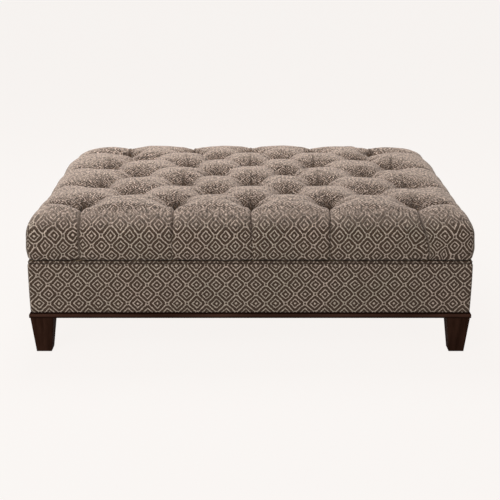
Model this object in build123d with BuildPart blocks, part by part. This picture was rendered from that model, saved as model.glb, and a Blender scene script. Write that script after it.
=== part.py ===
from build123d import *
from math import radians, sin, sqrt
import os

# A rectangular ottoman coffee table with a fixed, diamond-tufted top on four tapered legs.
# Sizes are in millimetres, +Z is up, the long front faces -Y, and the origin is on the floor
# under the middle of the body.

# Overall sizes
body_width = 1277.0  # over the upholstered band
body_depth = 948.0
band_height = 156.0
cushion_height = 160.0  # from the seam to the highest pillow

# Base
leg_height = 109.0
leg_top_width = 67.5
leg_foot_width = 44.5
leg_outer_taper = 10.5  # how far the two outer faces lean in
leg_edge_round = 2.0
leg_set_in = 2.5  # from the moulding's face to the leg's face
glide_height = 3.0
glide_radius = 14.0
glide_edge_round = 1.0
nail_radius = 1.1
nail_length = 16.0
moulding_height = 17.0
moulding_reach = 3.5  # how far the moulding stands out past the band
moulding_edge_round = 2.5
quirk_height = 4.5  # a set-back strip at the top of the moulding, seen as a dark line
quirk_depth = 1.5  # from the band's face to that strip

# Frame
rail_thickness = 19.0
block_length = 110.0
block_land = 30.0  # thickness of a corner block under its screws
block_height = 90.0
deck_thickness = 12.0
cross_rail_height = 95.0
plate_margin = 8.5  # from the leg's faces to the edges of its plate
plate_thickness = 3.0
plate_corner_round = 6.0
bolt_radius = 4.0
bolt_depth_in_leg = 38.0
bolt_reach_in_block = 28.0
plate_screw_edge = 7.0  # from the plate's edges to its screws

# Soft parts
band_thickness = 6.0  # padding and cover fabric over the rails
band_corner_round = 9.0
cushion_edge_radius = 70.0
cushion_swell_corner_radius = 36.0  # seen from above, halfway up the side
cushion_seam_corner_radius = 16.0  # seen from above, at the seam
cushion_swell = 5.0  # how far the cushion's fullest line stands out past the band
seam_draw = 7.5  # how far the seam is drawn in from there
seam_draw_height = 40.0  # how far up the ends that shows
crown_rise = 24.0  # how much higher the middle pillows lie than the rolled edges
foam_height = 74.0
foam_set_in = 38.0
foam_corner_radius = 45.0
foam_edge_round = 28.0
dust_cover_thickness = 1.0
dust_cover_set_in = 4.0
dust_cover_notch_gap = 3.0

# Tufts
tuft_end_margin = 122.0  # from the front and back faces to the first and last rows
tuft_side_margin = 156.0
tuft_depth = 60.0
tuft_floor_width = 12.0
tuft_floor_rise = 1.0
tuft_row_count = 7
tuft_column_shares = (0.0, 0.235, 0.45, 0.77, 1.0)
crease_share = 0.3  # depth of a crease midway between two tufts, as a share of the tuft's
pleat_depth = 9.0  # of the folds that run from the outer tufts to the seam
pleat_width = 24.0
column_step_shares = (0.0, 0.1, 0.3, 0.5, 0.7, 0.9)  # where the cushion's sections lie between columns
margin_step_shares = (0.0, 0.25, 0.6, 1.0)
roll_turns = (25, 45, 62, 78, 88)  # degrees round the end rolls
twine_radius = 1.25
knot_radius = 3.5
knot_height = 5.0
washer_radius = 11.0
washer_thickness = 2.0
twine_hole_radius = 5.0

# Fasteners
screw_head_radius = 4.2
screw_radius = 2.1
rail_screw_length = 52.0
deck_screw_length = 34.0
block_screw_length = 44.0
plate_screw_length = 19.0
brad_head_radius = 1.1
brad_radius = 0.7
brad_length = 17.0
staple_width = 10.0
staple_wire = 0.9
staple_leg_length = 8.0
staple_pitch = 115.0

# Spacing of fasteners, as shares of the piece that they are in
joint_level_shares = (0.22, 0.5, 0.78)
cross_level_shares = (0.25, 0.75)
block_level_shares = (0.35, 0.75)
long_spread_share = 0.86
short_spread_share = 0.72

# Clearances
fit_clearance = 0.15  # around shanks in their holes
soft_clearance = 0.3

# Heights
moulding_bottom = glide_height + leg_height
rail_bottom = moulding_bottom + plate_thickness
band_bottom = moulding_bottom + moulding_height
seam_level = band_bottom + band_height
rail_top = seam_level - deck_thickness
rail_height = rail_top - rail_bottom
crest_level = seam_level + cushion_height
edge_level = crest_level - crown_rise

# Half widths and half depths
half_width = body_width / 2
half_depth = body_depth / 2
frame_half_width = half_width - band_thickness
frame_half_depth = half_depth - band_thickness
inner_half_width = frame_half_width - rail_thickness
inner_half_depth = frame_half_depth - rail_thickness
moulding_half_width = half_width + moulding_reach
moulding_half_depth = half_depth + moulding_reach
leg_centre_x = moulding_half_width - leg_set_in - leg_top_width / 2
leg_centre_y = moulding_half_depth - leg_set_in - leg_top_width / 2
plate_width = leg_top_width - 2 * plate_margin
cushion_half_width = half_width + cushion_swell
cushion_half_depth = half_depth + cushion_swell

# Tuft rows and columns; the odd rows have a tuft on each even column, and the other way round
row_span = half_depth - tuft_end_margin
column_span = half_width - tuft_side_margin
row_pitch = 2 * row_span / (tuft_row_count - 1)
rows = [row * row_pitch - row_span for row in range(tuft_row_count)]
side_columns = [share * column_span for share in tuft_column_shares]
columns = [-x for x in reversed(side_columns[1:])] + side_columns
cross_rail_x = (side_columns[1] + side_columns[2]) / 2
tuft_places = [
    (x, y)
    for row, y in enumerate(rows)
    for column, x in enumerate(columns)
    if (row + column) % 2 == 0
]

corners = {
    "front_left": (-1, -1),
    "front_right": (1, -1),
    "back_right": (1, 1),
    "back_left": (-1, 1),
}
sides = {
    "front": (0, -1),
    "back": (0, 1),
    "left": (-1, 0),
    "right": (1, 0),
}


def finish(piece, name):
    piece.part.label = name
    export_step(piece.part, f"parts/{name}.step")


def corner_plane(corner, reach_x, reach_y, level):
    # Its x and y both point away from the middle of the body
    across, along = corners[corner]
    x_dir = (across, 0, 0) if across == along else (0, along, 0)
    return Plane(origin=(across * reach_x, along * reach_y, level), x_dir=x_dir, z_dir=(0, 0, 1))


def spread(count, reach):
    # Evenly spaced values from -reach to reach
    return [reach * (2 * step / (count - 1) - 1) for step in range(count)]


def mitre_planes(side, reach_x, reach_y):
    # The two upright planes that cut one side out of a ring, with that side above them
    across, along = sides[side]
    return [
        Plane(
            origin=((across + turn * along) * reach_x, (along - turn * across) * reach_y, 0),
            z_dir=(across - turn * along, along + turn * across, 0),
        )
        for turn in (-1, 1)
    ]


def looking(origin, z_dir):
    return Plane(origin=origin, z_dir=z_dir).location


def screws(places, length, gap=0.0, mode=Mode.ADD):
    # A flat head at each place, with the shank running into the wood behind it
    head = screw_head_radius + gap
    shank = screw_radius + gap
    top_down = (Align.CENTER, Align.CENTER, Align.MAX)
    with Locations(*places):
        Cone(bottom_radius=shank, top_radius=head, height=head - shank, align=top_down, mode=mode)
        Cylinder(radius=shank, height=length + gap, align=top_down, mode=mode)


def brads(places, gap=0.0, mode=Mode.ADD):
    head = brad_head_radius + gap
    shank = brad_radius + gap
    top_down = (Align.CENTER, Align.CENTER, Align.MAX)
    with Locations(*places):
        Cylinder(radius=head, height=head, align=top_down, mode=mode)
        Cylinder(radius=shank, height=brad_length + gap, align=top_down, mode=mode)


def staples(places, gap=0.0, mode=Mode.ADD):
    # A flat crown under the cloth and two legs up into the rail
    wire = staple_wire + 2 * gap
    leg_offset = (staple_width - staple_wire) / 2
    reach = staple_wire + dust_cover_thickness + staple_leg_length + gap
    bottom_up = (Align.CENTER, Align.CENTER, Align.MIN)
    with Locations(*places):
        Box(staple_width + 2 * gap, wire, staple_wire, align=bottom_up, mode=mode)
        with Locations((leg_offset, 0), (-leg_offset, 0)):
            Box(wire, wire, reach, align=bottom_up, mode=mode)


# Places of the fasteners, kept by the rail that they enter
rail_middle_x = frame_half_width - rail_thickness / 2
rail_middle_y = frame_half_depth - rail_thickness / 2
joint_levels = [rail_bottom + rail_height * share for share in joint_level_shares]
cross_levels = [rail_top - cross_rail_height * share for share in cross_level_shares]
rail_screws = {
    side: [
        looking((way * x, sides[side][1] * frame_half_depth, z), (0, sides[side][1], 0))
        for x, levels in ((rail_middle_x, joint_levels), (cross_rail_x, cross_levels))
        for way in (-1, 1)
        for z in levels
    ]
    for side in ("front", "back")
}
deck_screws = {
    side: [
        looking((x, along * rail_middle_y, seam_level), (0, 0, 1))
        for x in spread(6, frame_half_width * long_spread_share)
    ]
    if along
    else [
        looking((across * rail_middle_x, y, seam_level), (0, 0, 1))
        for y in spread(4, frame_half_depth * short_spread_share)
    ]
    for side, (across, along) in sides.items()
}
for side, way in (("left_cross", -1), ("right_cross", 1)):
    deck_screws[side] = [
        looking((way * cross_rail_x, y, seam_level), (0, 0, 1))
        for y in spread(4, frame_half_depth * short_spread_share)
    ]

plate_screw_reach = plate_width / 2 - plate_screw_edge
plate_screws = [
    looking((across * leg_centre_x + dx, along * leg_centre_y + dy, moulding_bottom), (0, 0, -1))
    for across, along in corners.values()
    for dx in (-plate_screw_reach, plate_screw_reach)
    for dy in (-plate_screw_reach, plate_screw_reach)
]

block_screw_reach = block_length - block_land / 2
block_levels = [rail_bottom + block_height * share for share in block_level_shares]
block_screws = []
for across, along in corners.values():
    land_x = across * (inner_half_width - block_land)
    land_y = along * (inner_half_depth - block_land)
    for z in block_levels:
        beside_x = across * (inner_half_width - block_screw_reach)
        beside_y = along * (inner_half_depth - block_screw_reach)
        block_screws.append(looking((beside_x, land_y, z), (0, -along, 0)))
        block_screws.append(looking((land_x, beside_y, z), (-across, 0, 0)))

brad_level = moulding_bottom + (moulding_height - quirk_height) / 2
moulding_brads = {
    side: [
        looking((x, along * moulding_half_depth, brad_level), (0, along, 0))
        for x in spread(6, half_width * long_spread_share)
    ]
    if along
    else [
        looking((across * moulding_half_width, y, brad_level), (across, 0, 0))
        for y in spread(4, half_depth * short_spread_share)
    ]
    for side, (across, along) in sides.items()
}

dust_half_width = frame_half_width - dust_cover_set_in
dust_half_depth = frame_half_depth - dust_cover_set_in
notch_x = leg_centre_x - plate_width / 2 - dust_cover_notch_gap
notch_y = leg_centre_y - plate_width / 2 - dust_cover_notch_gap
staple_level = rail_bottom - dust_cover_thickness - staple_wire
staple_reach_x = notch_x - staple_width
staple_reach_y = notch_y - staple_width
dust_staples = {
    side: [
        Location((x, along * rail_middle_y, staple_level))
        for x in spread(2 + int(2 * staple_reach_x / staple_pitch), staple_reach_x)
    ]
    if along
    else [
        Location((across * rail_middle_x, y, staple_level), (0, 0, 90))
        for y in spread(2 + int(2 * staple_reach_y / staple_pitch), staple_reach_y)
    ]
    for side, (across, along) in sides.items()
}


def every(places_by_side):
    return [place for places in places_by_side.values() for place in places]


os.makedirs("parts", exist_ok=True)

# Legs, their glides and the bolts and plates that hold them
leg_foot_shift = (leg_top_width - leg_foot_width) / 2 - leg_outer_taper
for corner in corners:
    foot_plane = corner_plane(corner, leg_centre_x, leg_centre_y, glide_height)
    with BuildPart() as leg:
        with BuildSketch(foot_plane):
            with Locations((leg_foot_shift, leg_foot_shift)):
                Rectangle(leg_foot_width, leg_foot_width)
        with BuildSketch(foot_plane.offset(leg_height)):
            Rectangle(leg_top_width, leg_top_width)
        loft()
        fillet(leg.edges().sort_by(SortBy.LENGTH)[-4:], radius=leg_edge_round)
        with Locations(foot_plane.offset(leg_height)):
            Hole(radius=bolt_radius + fit_clearance, depth=bolt_depth_in_leg + fit_clearance)
        with BuildSketch(foot_plane):
            with Locations((leg_foot_shift, leg_foot_shift)):
                Circle(nail_radius + fit_clearance)
        extrude(amount=nail_length + fit_clearance, mode=Mode.SUBTRACT)
    finish(leg, f"{corner}_leg")

    with BuildPart() as glide:
        with BuildSketch(foot_plane.offset(-glide_height)):
            with Locations((leg_foot_shift, leg_foot_shift)):
                Circle(glide_radius)
        extrude(amount=glide_height)
        fillet(glide.edges().group_by(Axis.Z)[0], radius=glide_edge_round)
        with BuildSketch(foot_plane):
            with Locations((leg_foot_shift, leg_foot_shift)):
                Circle(nail_radius)
        extrude(amount=nail_length)
    finish(glide, f"{corner}_glide")

leg_points = [(across * leg_centre_x, along * leg_centre_y) for across, along in corners.values()]

with BuildPart() as leg_plates:
    with BuildSketch(Plane.XY.offset(moulding_bottom)):
        with Locations(*leg_points):
            RectangleRounded(plate_width, plate_width, plate_corner_round)
            Circle(bolt_radius + fit_clearance, mode=Mode.SUBTRACT)
    extrude(amount=plate_thickness)
    screws(plate_screws, plate_screw_length, fit_clearance, Mode.SUBTRACT)
finish(leg_plates, "leg_plates")

with BuildPart() as hanger_bolts:
    with BuildSketch(Plane.XY.offset(moulding_bottom - bolt_depth_in_leg)):
        with Locations(*leg_points):
            Circle(bolt_radius)
    extrude(amount=bolt_depth_in_leg + plate_thickness + bolt_reach_in_block)
    chamfer(hanger_bolts.edges().filter_by(GeomType.CIRCLE), length=bolt_radius / 4)
finish(hanger_bolts, "hanger_bolts")

with BuildSketch(Plane.XY.offset(rail_bottom)) as bolt_holes:
    with Locations(*leg_points):
        Circle(bolt_radius + fit_clearance)

with BuildPart() as plate_screw_set:
    screws(plate_screws, plate_screw_length)
finish(plate_screw_set, "plate_screws")

# Hardwood rails: the front and back ones run the whole width, the others fit between them
for side, (across, along) in sides.items():
    with BuildPart() as rail:
        with BuildSketch(Plane.XY.offset(rail_bottom)):
            with Locations((across * rail_middle_x, along * rail_middle_y)):
                if along:
                    Rectangle(2 * frame_half_width, rail_thickness)
                else:
                    Rectangle(rail_thickness, 2 * inner_half_depth)
        extrude(amount=rail_height)
        entering = rail_screws[side] if along else every(rail_screws)
        screws(entering, rail_screw_length, fit_clearance, Mode.SUBTRACT)
        screws(deck_screws[side], deck_screw_length, fit_clearance, Mode.SUBTRACT)
        screws(plate_screws, plate_screw_length, fit_clearance, Mode.SUBTRACT)
        screws(block_screws, block_screw_length, fit_clearance, Mode.SUBTRACT)
        brads(moulding_brads[side], fit_clearance, Mode.SUBTRACT)
        staples(dust_staples[side], fit_clearance, Mode.SUBTRACT)
        extrude(bolt_holes.sketch, amount=bolt_reach_in_block + fit_clearance, mode=Mode.SUBTRACT)
    finish(rail, f"{side}_rail")

for side, way in (("left_cross", -1), ("right_cross", 1)):
    with BuildPart() as cross_rail:
        with BuildSketch(Plane.XY.offset(rail_top - cross_rail_height)):
            with Locations((way * cross_rail_x, 0)):
                Rectangle(rail_thickness, 2 * inner_half_depth)
        extrude(amount=cross_rail_height)
        screws(every(rail_screws), rail_screw_length, fit_clearance, Mode.SUBTRACT)
        screws(deck_screws[side], deck_screw_length, fit_clearance, Mode.SUBTRACT)
    finish(cross_rail, f"{side}_rail")

for corner in corners:
    block_plane = corner_plane(corner, inner_half_width, inner_half_depth, rail_bottom)
    land_start = block_length - block_land
    with BuildPart() as block:
        with BuildSketch(block_plane):
            with BuildLine():
                Polyline(
                    (0, 0),
                    (-block_length, 0),
                    (-block_length, -block_land),
                    (-land_start, -block_land),
                    (-block_land, -land_start),
                    (-block_land, -block_length),
                    (0, -block_length),
                    close=True,
                )
            make_face()
        extrude(amount=block_height)
        extrude(bolt_holes.sketch, amount=bolt_reach_in_block + fit_clearance, mode=Mode.SUBTRACT)
        screws(plate_screws, plate_screw_length, fit_clearance, Mode.SUBTRACT)
        screws(block_screws, block_screw_length, fit_clearance, Mode.SUBTRACT)
    finish(block, f"{corner}_block")

for name, places, length in (
    ("rail_screws", every(rail_screws), rail_screw_length),
    ("block_screws", block_screws, block_screw_length),
    ("deck_screws", every(deck_screws), deck_screw_length),
):
    with BuildPart() as screw_set:
        screws(places, length)
    finish(screw_set, name)

# Plywood deck that the tufts are tied down to
with BuildPart() as deck:
    with BuildSketch(Plane.XY.offset(rail_top)):
        Rectangle(2 * frame_half_width, 2 * frame_half_depth)
        with Locations(*tuft_places):
            Circle(twine_hole_radius, mode=Mode.SUBTRACT)
    extrude(amount=deck_thickness)
    screws(every(deck_screws), deck_screw_length, fit_clearance, Mode.SUBTRACT)
finish(deck, "tufting_deck")

# Base moulding in four mitred lengths, with the brads that hold it
for side in sides:
    with BuildPart() as moulding:
        with BuildSketch(Plane.XY.offset(moulding_bottom)):
            Rectangle(2 * moulding_half_width, 2 * moulding_half_depth)
        extrude(amount=moulding_height - quirk_height)
        outer_edges = moulding.edges().filter_by(Axis.Z, reverse=True)
        fillet(outer_edges, radius=moulding_edge_round)
        with BuildSketch(Plane.XY.offset(band_bottom)):
            Rectangle(body_width - 2 * quirk_depth, body_depth - 2 * quirk_depth)
        extrude(amount=-quirk_height)
        with BuildSketch(Plane.XY.offset(moulding_bottom)):
            Rectangle(2 * frame_half_width, 2 * frame_half_depth)
        extrude(amount=moulding_height, mode=Mode.SUBTRACT)
        for mitre in mitre_planes(side, moulding_half_width, moulding_half_depth):
            split(bisect_by=mitre, keep=Keep.TOP)
        brads(moulding_brads[side], fit_clearance, Mode.SUBTRACT)
    finish(moulding, f"{side}_moulding")

with BuildPart() as brad_set:
    brads(every(moulding_brads))
finish(brad_set, "moulding_brads")

# Upholstered band round the rails, in four mitred lengths
for side in sides:
    with BuildPart() as band:
        with BuildSketch(Plane.XY.offset(band_bottom)):
            RectangleRounded(body_width, body_depth, band_corner_round)
            Rectangle(2 * frame_half_width, 2 * frame_half_depth, mode=Mode.SUBTRACT)
        extrude(amount=band_height)
        for mitre in mitre_planes(side, half_width, half_depth):
            split(bisect_by=mitre, keep=Keep.TOP)
    finish(band, f"{side}_band")

# Cambric dust cover, notched round the leg plates, and its staples
with BuildPart() as dust_cover:
    with BuildSketch(Plane.XY.offset(rail_bottom - dust_cover_thickness)):
        Rectangle(2 * dust_half_width, 2 * notch_y)
        Rectangle(2 * notch_x, 2 * dust_half_depth)
    extrude(amount=dust_cover_thickness)
    staples(every(dust_staples), fit_clearance, Mode.SUBTRACT)
finish(dust_cover, "dust_cover")

with BuildPart() as staple_set:
    staples(every(dust_staples))
finish(staple_set, "dust_cover_staples")

# Foam core with a hole for each tuft's twine
foam_width = 2 * (cushion_half_width - foam_set_in)
foam_depth = 2 * (cushion_half_depth - foam_set_in)
with BuildPart() as foam:
    with BuildSketch(Plane.XY.offset(seam_level)):
        RectangleRounded(foam_width, foam_depth, foam_corner_radius)
    extrude(amount=foam_height)
    fillet(foam.edges().group_by(Axis.Z)[-1], radius=foam_edge_round)
    with BuildSketch(Plane.XY.offset(seam_level)):
        with Locations(*tuft_places):
            Circle(twine_hole_radius)
    extrude(amount=foam_height, mode=Mode.SUBTRACT)
finish(foam, "foam_core")

# Tufted cushion: cover and batting in one, lofted through cross-sections from left to right
roll_centre = edge_level - cushion_edge_radius
flat_half_width = cushion_half_width - cushion_edge_radius
flat_half_depth = cushion_half_depth - cushion_edge_radius
crease_depth = tuft_depth * crease_share
shoulder_share = sin(radians(45))


def arch(away):
    # From 1 in the middle to 0 at the rim
    return sqrt(max(0.0, 1 - away * away))


def ridge_share(away):
    # Height of a pillow above its tufts, on the line from its middle (0) to its point (1)
    return crease_share * arch(away) ** 2 + (1 - crease_share) * (2 * arch(away) - arch(away) ** 2)


def near(distance, width):
    return max(0.0, 1 - distance / width)


def crown(x, y):
    return crown_rise * (1 - (x / cushion_half_width) ** 2) * (1 - (y / cushion_half_depth) ** 2)


def plan_reach(x, corner_radius):
    # Half depth of the cushion at x, where its corners have this radius
    past = max(0.0, abs(x) - cushion_half_width + corner_radius)
    return cushion_half_depth - corner_radius * (1 - arch(past / corner_radius))


def tuft_state(reach):
    # How far a place is from the even columns to the odd ones, and how deep its creases and pleats are
    if reach >= column_span:
        beyond = reach - column_span
        groove = tuft_depth - (tuft_depth - pleat_depth) * arch(near(beyond, cushion_edge_radius))
        outward = min(1.0, beyond / (flat_half_width - column_span))
        end_depth = tuft_depth * (1 - ridge_share(1 - outward))
        return 0.0, groove, 0.0, end_depth / 2, pleat_depth * near(beyond, pleat_width)
    column = max(index for index, start in enumerate(side_columns) if start <= reach)
    before, after = side_columns[column], side_columns[column + 1]
    share = (reach - before) / (after - before)
    from_tufts = reach - before
    if column % 2:
        share = 1 - share
        from_tufts = after - reach
    groove = tuft_depth - (tuft_depth - crease_depth) * arch(1 - 2 * share)
    side_depth = tuft_depth * (1 - ridge_share(share))
    end_depth = tuft_depth * (1 - ridge_share(1 - share))
    return share, groove, side_depth, end_depth / 2, pleat_depth * near(from_tufts, pleat_width)


def section(x):
    # The cushion's outline across its depth, at one place along its width
    reach = abs(x)
    roll = cushion_edge_radius * arch(max(0.0, reach - flat_half_width) / cushion_edge_radius)
    crest = roll_centre + roll
    share, groove, side_depth, end_depth, drawn = tuft_state(reach)
    gap = tuft_floor_width / 2 + share * (row_pitch - tuft_floor_width)
    middle_depth = tuft_depth * (1 - ridge_share(1 - share))

    creases = [row + way * gap for row in rows[::2] for way in (-1, 1)][1:-1]
    points = [(y, crest + crown(x, y) - groove) for y in creases]
    ridges = []
    for number, (low, high) in enumerate(zip(creases, creases[1:])):
        depth = middle_depth if number % 2 else side_depth
        y = (low + high) / 2
        ridges.append((y, crest + crown(x, y) - min(depth, groove - tuft_floor_rise)))

    bottom = seam_level + seam_draw_height * max(0.0, 1 - (cushion_half_width - reach) / seam_draw)
    shoulder = flat_half_depth + roll * shoulder_share - drawn
    shoulder_level = roll_centre + roll * shoulder_share - drawn / 2
    seam_reach = plan_reach(x, cushion_seam_corner_radius) - seam_draw - drawn / 4
    swell_reach = plan_reach(x, cushion_swell_corner_radius) - drawn
    swell_level = (bottom + shoulder_level) / 2
    ridge_reach = (shoulder + creases[-1]) / 2
    least_level = (shoulder_level + points[-1][1]) / 2 + pleat_depth / 4
    ridge_level = max(crest + crown(x, ridge_reach) - end_depth, least_level)

    Line((seam_reach, bottom), (-seam_reach, bottom))
    ThreePointArc((-seam_reach, bottom), (-swell_reach, swell_level), (-shoulder, shoulder_level))
    ThreePointArc((-shoulder, shoulder_level), (-ridge_reach, ridge_level), points[0])
    for start, ridge, end in zip(points, ridges, points[1:]):
        ThreePointArc(start, ridge, end)
    ThreePointArc(points[-1], (ridge_reach, ridge_level), (shoulder, shoulder_level))
    ThreePointArc((shoulder, shoulder_level), (swell_reach, swell_level), (seam_reach, bottom))


stations = [
    low + share * (high - low)
    for low, high in zip(side_columns, side_columns[1:])
    for share in column_step_shares
]
stations += [column_span + (flat_half_width - column_span) * share for share in margin_step_shares]
stations += [flat_half_width + cushion_edge_radius * sin(radians(turn)) for turn in roll_turns]

with BuildPart() as cushion:
    for x in [-x for x in reversed(stations[1:])] + stations:
        with BuildSketch(Plane(origin=(x, 0, 0), x_dir=(0, 1, 0), z_dir=(1, 0, 0))):
            with BuildLine():
                section(x)
            make_face()
    loft(ruled=True)
    with BuildSketch(Plane.XY.offset(seam_level)):
        RectangleRounded(
            foam_width + 2 * soft_clearance,
            foam_depth + 2 * soft_clearance,
            foam_corner_radius + soft_clearance,
        )
    extrude(amount=foam_height + soft_clearance, mode=Mode.SUBTRACT)
finish(cushion, "tufted_cushion")

# Twines that hold the tufts down, knotted under fibre washers below the deck
with BuildPart() as washers:
    with BuildSketch(Plane.XY.offset(rail_top - washer_thickness)):
        with Locations(*tuft_places):
            Circle(washer_radius)
            Circle(twine_radius + fit_clearance, mode=Mode.SUBTRACT)
    extrude(amount=washer_thickness)
finish(washers, "tuft_washers")

with BuildPart() as twines:
    with BuildSketch(Plane.XY.offset(rail_top - washer_thickness)):
        with Locations(*tuft_places):
            Circle(twine_radius)
    extrude(amount=washer_thickness + deck_thickness + foam_height + soft_clearance)
    with BuildSketch(Plane.XY.offset(rail_top - washer_thickness - knot_height)):
        with Locations(*tuft_places):
            Circle(knot_radius)
    extrude(amount=knot_height)
finish(twines, "tuft_twines")
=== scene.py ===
import math
import random

import bpy
import bmesh
import numpy as np
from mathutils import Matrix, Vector, noise


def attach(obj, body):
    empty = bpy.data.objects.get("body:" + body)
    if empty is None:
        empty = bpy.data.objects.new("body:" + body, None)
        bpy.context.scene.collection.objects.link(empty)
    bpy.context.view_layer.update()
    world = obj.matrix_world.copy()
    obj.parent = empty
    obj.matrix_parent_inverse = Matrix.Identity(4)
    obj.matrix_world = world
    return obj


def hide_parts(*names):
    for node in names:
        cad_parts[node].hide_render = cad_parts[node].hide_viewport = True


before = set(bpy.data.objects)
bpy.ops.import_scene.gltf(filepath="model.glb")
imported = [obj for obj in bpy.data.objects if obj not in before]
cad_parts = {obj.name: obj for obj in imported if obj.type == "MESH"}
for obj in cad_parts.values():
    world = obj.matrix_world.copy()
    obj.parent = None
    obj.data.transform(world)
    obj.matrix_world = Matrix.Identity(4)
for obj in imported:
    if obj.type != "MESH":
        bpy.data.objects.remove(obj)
scene = bpy.context.scene
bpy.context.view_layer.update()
print("frame loaded with", len(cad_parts), "parts")


# Helpers for shader and geometry trees; most find the tree by the sockets they are given
def isSocket(value):
    return isinstance(value, bpy.types.NodeSocket)


def setInputs(node, inputs):
    for key, value in inputs.items():
        if isSocket(value):
            node.id_data.links.new(value, node.inputs[key])
        else:
            node.inputs[key].default_value = value
    return node


def addNode(tree, kind, inputs=None, **settings):
    node = tree.nodes.new(kind)
    for name, value in settings.items():
        setattr(node, name, value)
    return setInputs(node, inputs or {}).outputs


def joinNode(kind, inputs, **settings):
    tree = next(value.id_data for value in inputs.values() if isSocket(value))
    return addNode(tree, kind, inputs, **settings)


def calc(operation, *values, clamp=False):
    return joinNode("ShaderNodeMath", dict(enumerate(values)), operation=operation, use_clamp=clamp)[0]


def plus(first, second):
    return calc("ADD", first, second)


def minus(first, second):
    return calc("SUBTRACT", first, second)


def times(first, second):
    return calc("MULTIPLY", first, second)


def scaled(value, share, base):
    return calc("MULTIPLY_ADD", value, share, base)


def mixColor(factor, first, second, blend="MIX"):
    colors = [value if isSocket(value) else (*value, 1) for value in (first, second)]
    inputs = {0: factor, 6: colors[0], 7: colors[1]}
    return joinNode("ShaderNodeMix", inputs, data_type="RGBA", blend_type=blend)[2]


def rampOf(factor, *stops):
    made = joinNode("ShaderNodeValToRGB", {0: factor})[0]
    elements = made.node.color_ramp.elements
    while len(elements) < len(stops):
        elements.new(0.5)
    for element, (place, tone) in zip(elements, stops):
        element.position = place
        element.color = (tone, tone, tone, 1)
    return made


def noiseOf(vector, scale, detail=2.0, roughness=0.5):
    inputs = {"Vector": vector, "Scale": scale, "Detail": detail, "Roughness": roughness}
    return joinNode("ShaderNodeTexNoise", inputs)


def vectorMath(operation, first, second):
    return joinNode("ShaderNodeVectorMath", {0: first, 1: second}, operation=operation)


def splitXyz(vector):
    return joinNode("ShaderNodeSeparateXYZ", {0: vector})


def newGroup(name, inputs, outputs):
    # An input that isn't a number is a vector, and every output is a plain number
    group = bpy.data.node_groups.new(name, "ShaderNodeTree")
    for label, value in inputs.items():
        kind = "NodeSocketFloat" if isinstance(value, float) else "NodeSocketVector"
        socket = group.interface.new_socket(label, in_out="INPUT", socket_type=kind)
        if value is not None:
            socket.default_value = value
    for label in outputs:
        group.interface.new_socket(label, in_out="OUTPUT", socket_type="NodeSocketFloat")
    return group, addNode(group, "NodeGroupInput"), group.nodes.new("NodeGroupOutput")


def placeGroup(group, **inputs):
    return joinNode("ShaderNodeGroup", inputs, node_tree=group)


def newMaterial(name, **constants):
    material = bpy.data.materials.new(name)
    material.use_nodes = True
    tree = material.node_tree
    return material, tree, setInputs(tree.nodes["Principled BSDF"], constants)


def finishShader(shader, color, roughness, height, strength, distance):
    bump = joinNode("ShaderNodeBump", {"Height": height, "Strength": strength, "Distance": distance})
    setInputs(shader, {"Base Color": color, "Roughness": roughness, "Normal": bump[0]})


# Shader groups shared by the finishes
jacquard = {
    "slowNoise": (45.0, 1.0),  # scale and detail of what makes the rows stray
    "fastNoise": (420.0, 1.0),  # and of what frays the yarns
    "rings": ((0.0, 1), (0.11, 1), (0.17, 0), (0.42, 0), (0.45, 1), (0.54, 1), (0.57, 0), (0.915, 0),
              (0.945, 1)),
    "crossFrame": ((0.20, 0), (0.25, 1), (0.35, 1), (0.40, 0)),  # the small square where four diamonds meet
    "crossSpot": ((0.19, 0), (0.24, 1)),
}


def buildJacquard(j):
    # Half-drop concentric diamonds; 1 is a light yarn, 0 a dark one
    sizes = {"RepeatWidth": 0.057, "RepeatHeight": 0.058, "Wobble": 0.05, "Fray": 0.075}
    group, given, made = newGroup("jacquardDiamonds", {"Vector": None} | sizes, ("Mask",))
    vector = given["Vector"]
    place = splitXyz(vector)
    drift, fuzz = [splitXyz(noiseOf(vector, *j[key])["Color"]) for key in ("slowNoise", "fastNoise")]
    away = []
    for axis, repeat in enumerate(("RepeatWidth", "RepeatHeight")):
        at = calc("DIVIDE", place[axis], given[repeat])
        for push, reach in ((drift, "Wobble"), (fuzz, "Fray")):
            at = plus(at, times(minus(push[axis], 0.5), given[reach]))
        away.append(calc("ABSOLUTE", minus(calc("FRACT", plus(at, 0.5)), 0.5)))
    across = plus(*away)
    ring = calc("MINIMUM", across, minus(1.0, across))
    crossing = [calc("MAXIMUM", minus(0.5, away[axis]), away[1 - axis]) for axis in (0, 1)]
    crossing = times(calc("MINIMUM", *crossing), 4.0)
    mask = calc("MAXIMUM", rampOf(times(ring, 2.0), *j["rings"]), rampOf(crossing, *j["crossFrame"]))
    setInputs(made, {"Mask": times(mask, rampOf(crossing, *j["crossSpot"]))})
    return group


def buildYarnGrain():
    inputs = {"Vector": None, "YarnSize": 0.0022}
    group, given, made = newGroup("yarnGrain", inputs, ("Tone", "Height", "Slow"))
    vector = given["Vector"]
    density = calc("DIVIDE", 1.0, given["YarnSize"])
    loops = joinNode("ShaderNodeTexVoronoi", {"Vector": vector, "Scale": density, "Randomness": 0.85})
    tone = scaled(splitXyz(loops["Color"])[0], 0.55, times(noiseOf(vector, density, 3.0)[0], 0.45))
    height = minus(1.0, times(loops["Distance"], 1.1))
    setInputs(made, {"Tone": tone, "Height": height, "Slow": noiseOf(vector, 7.0)[0]})
    return group


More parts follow.
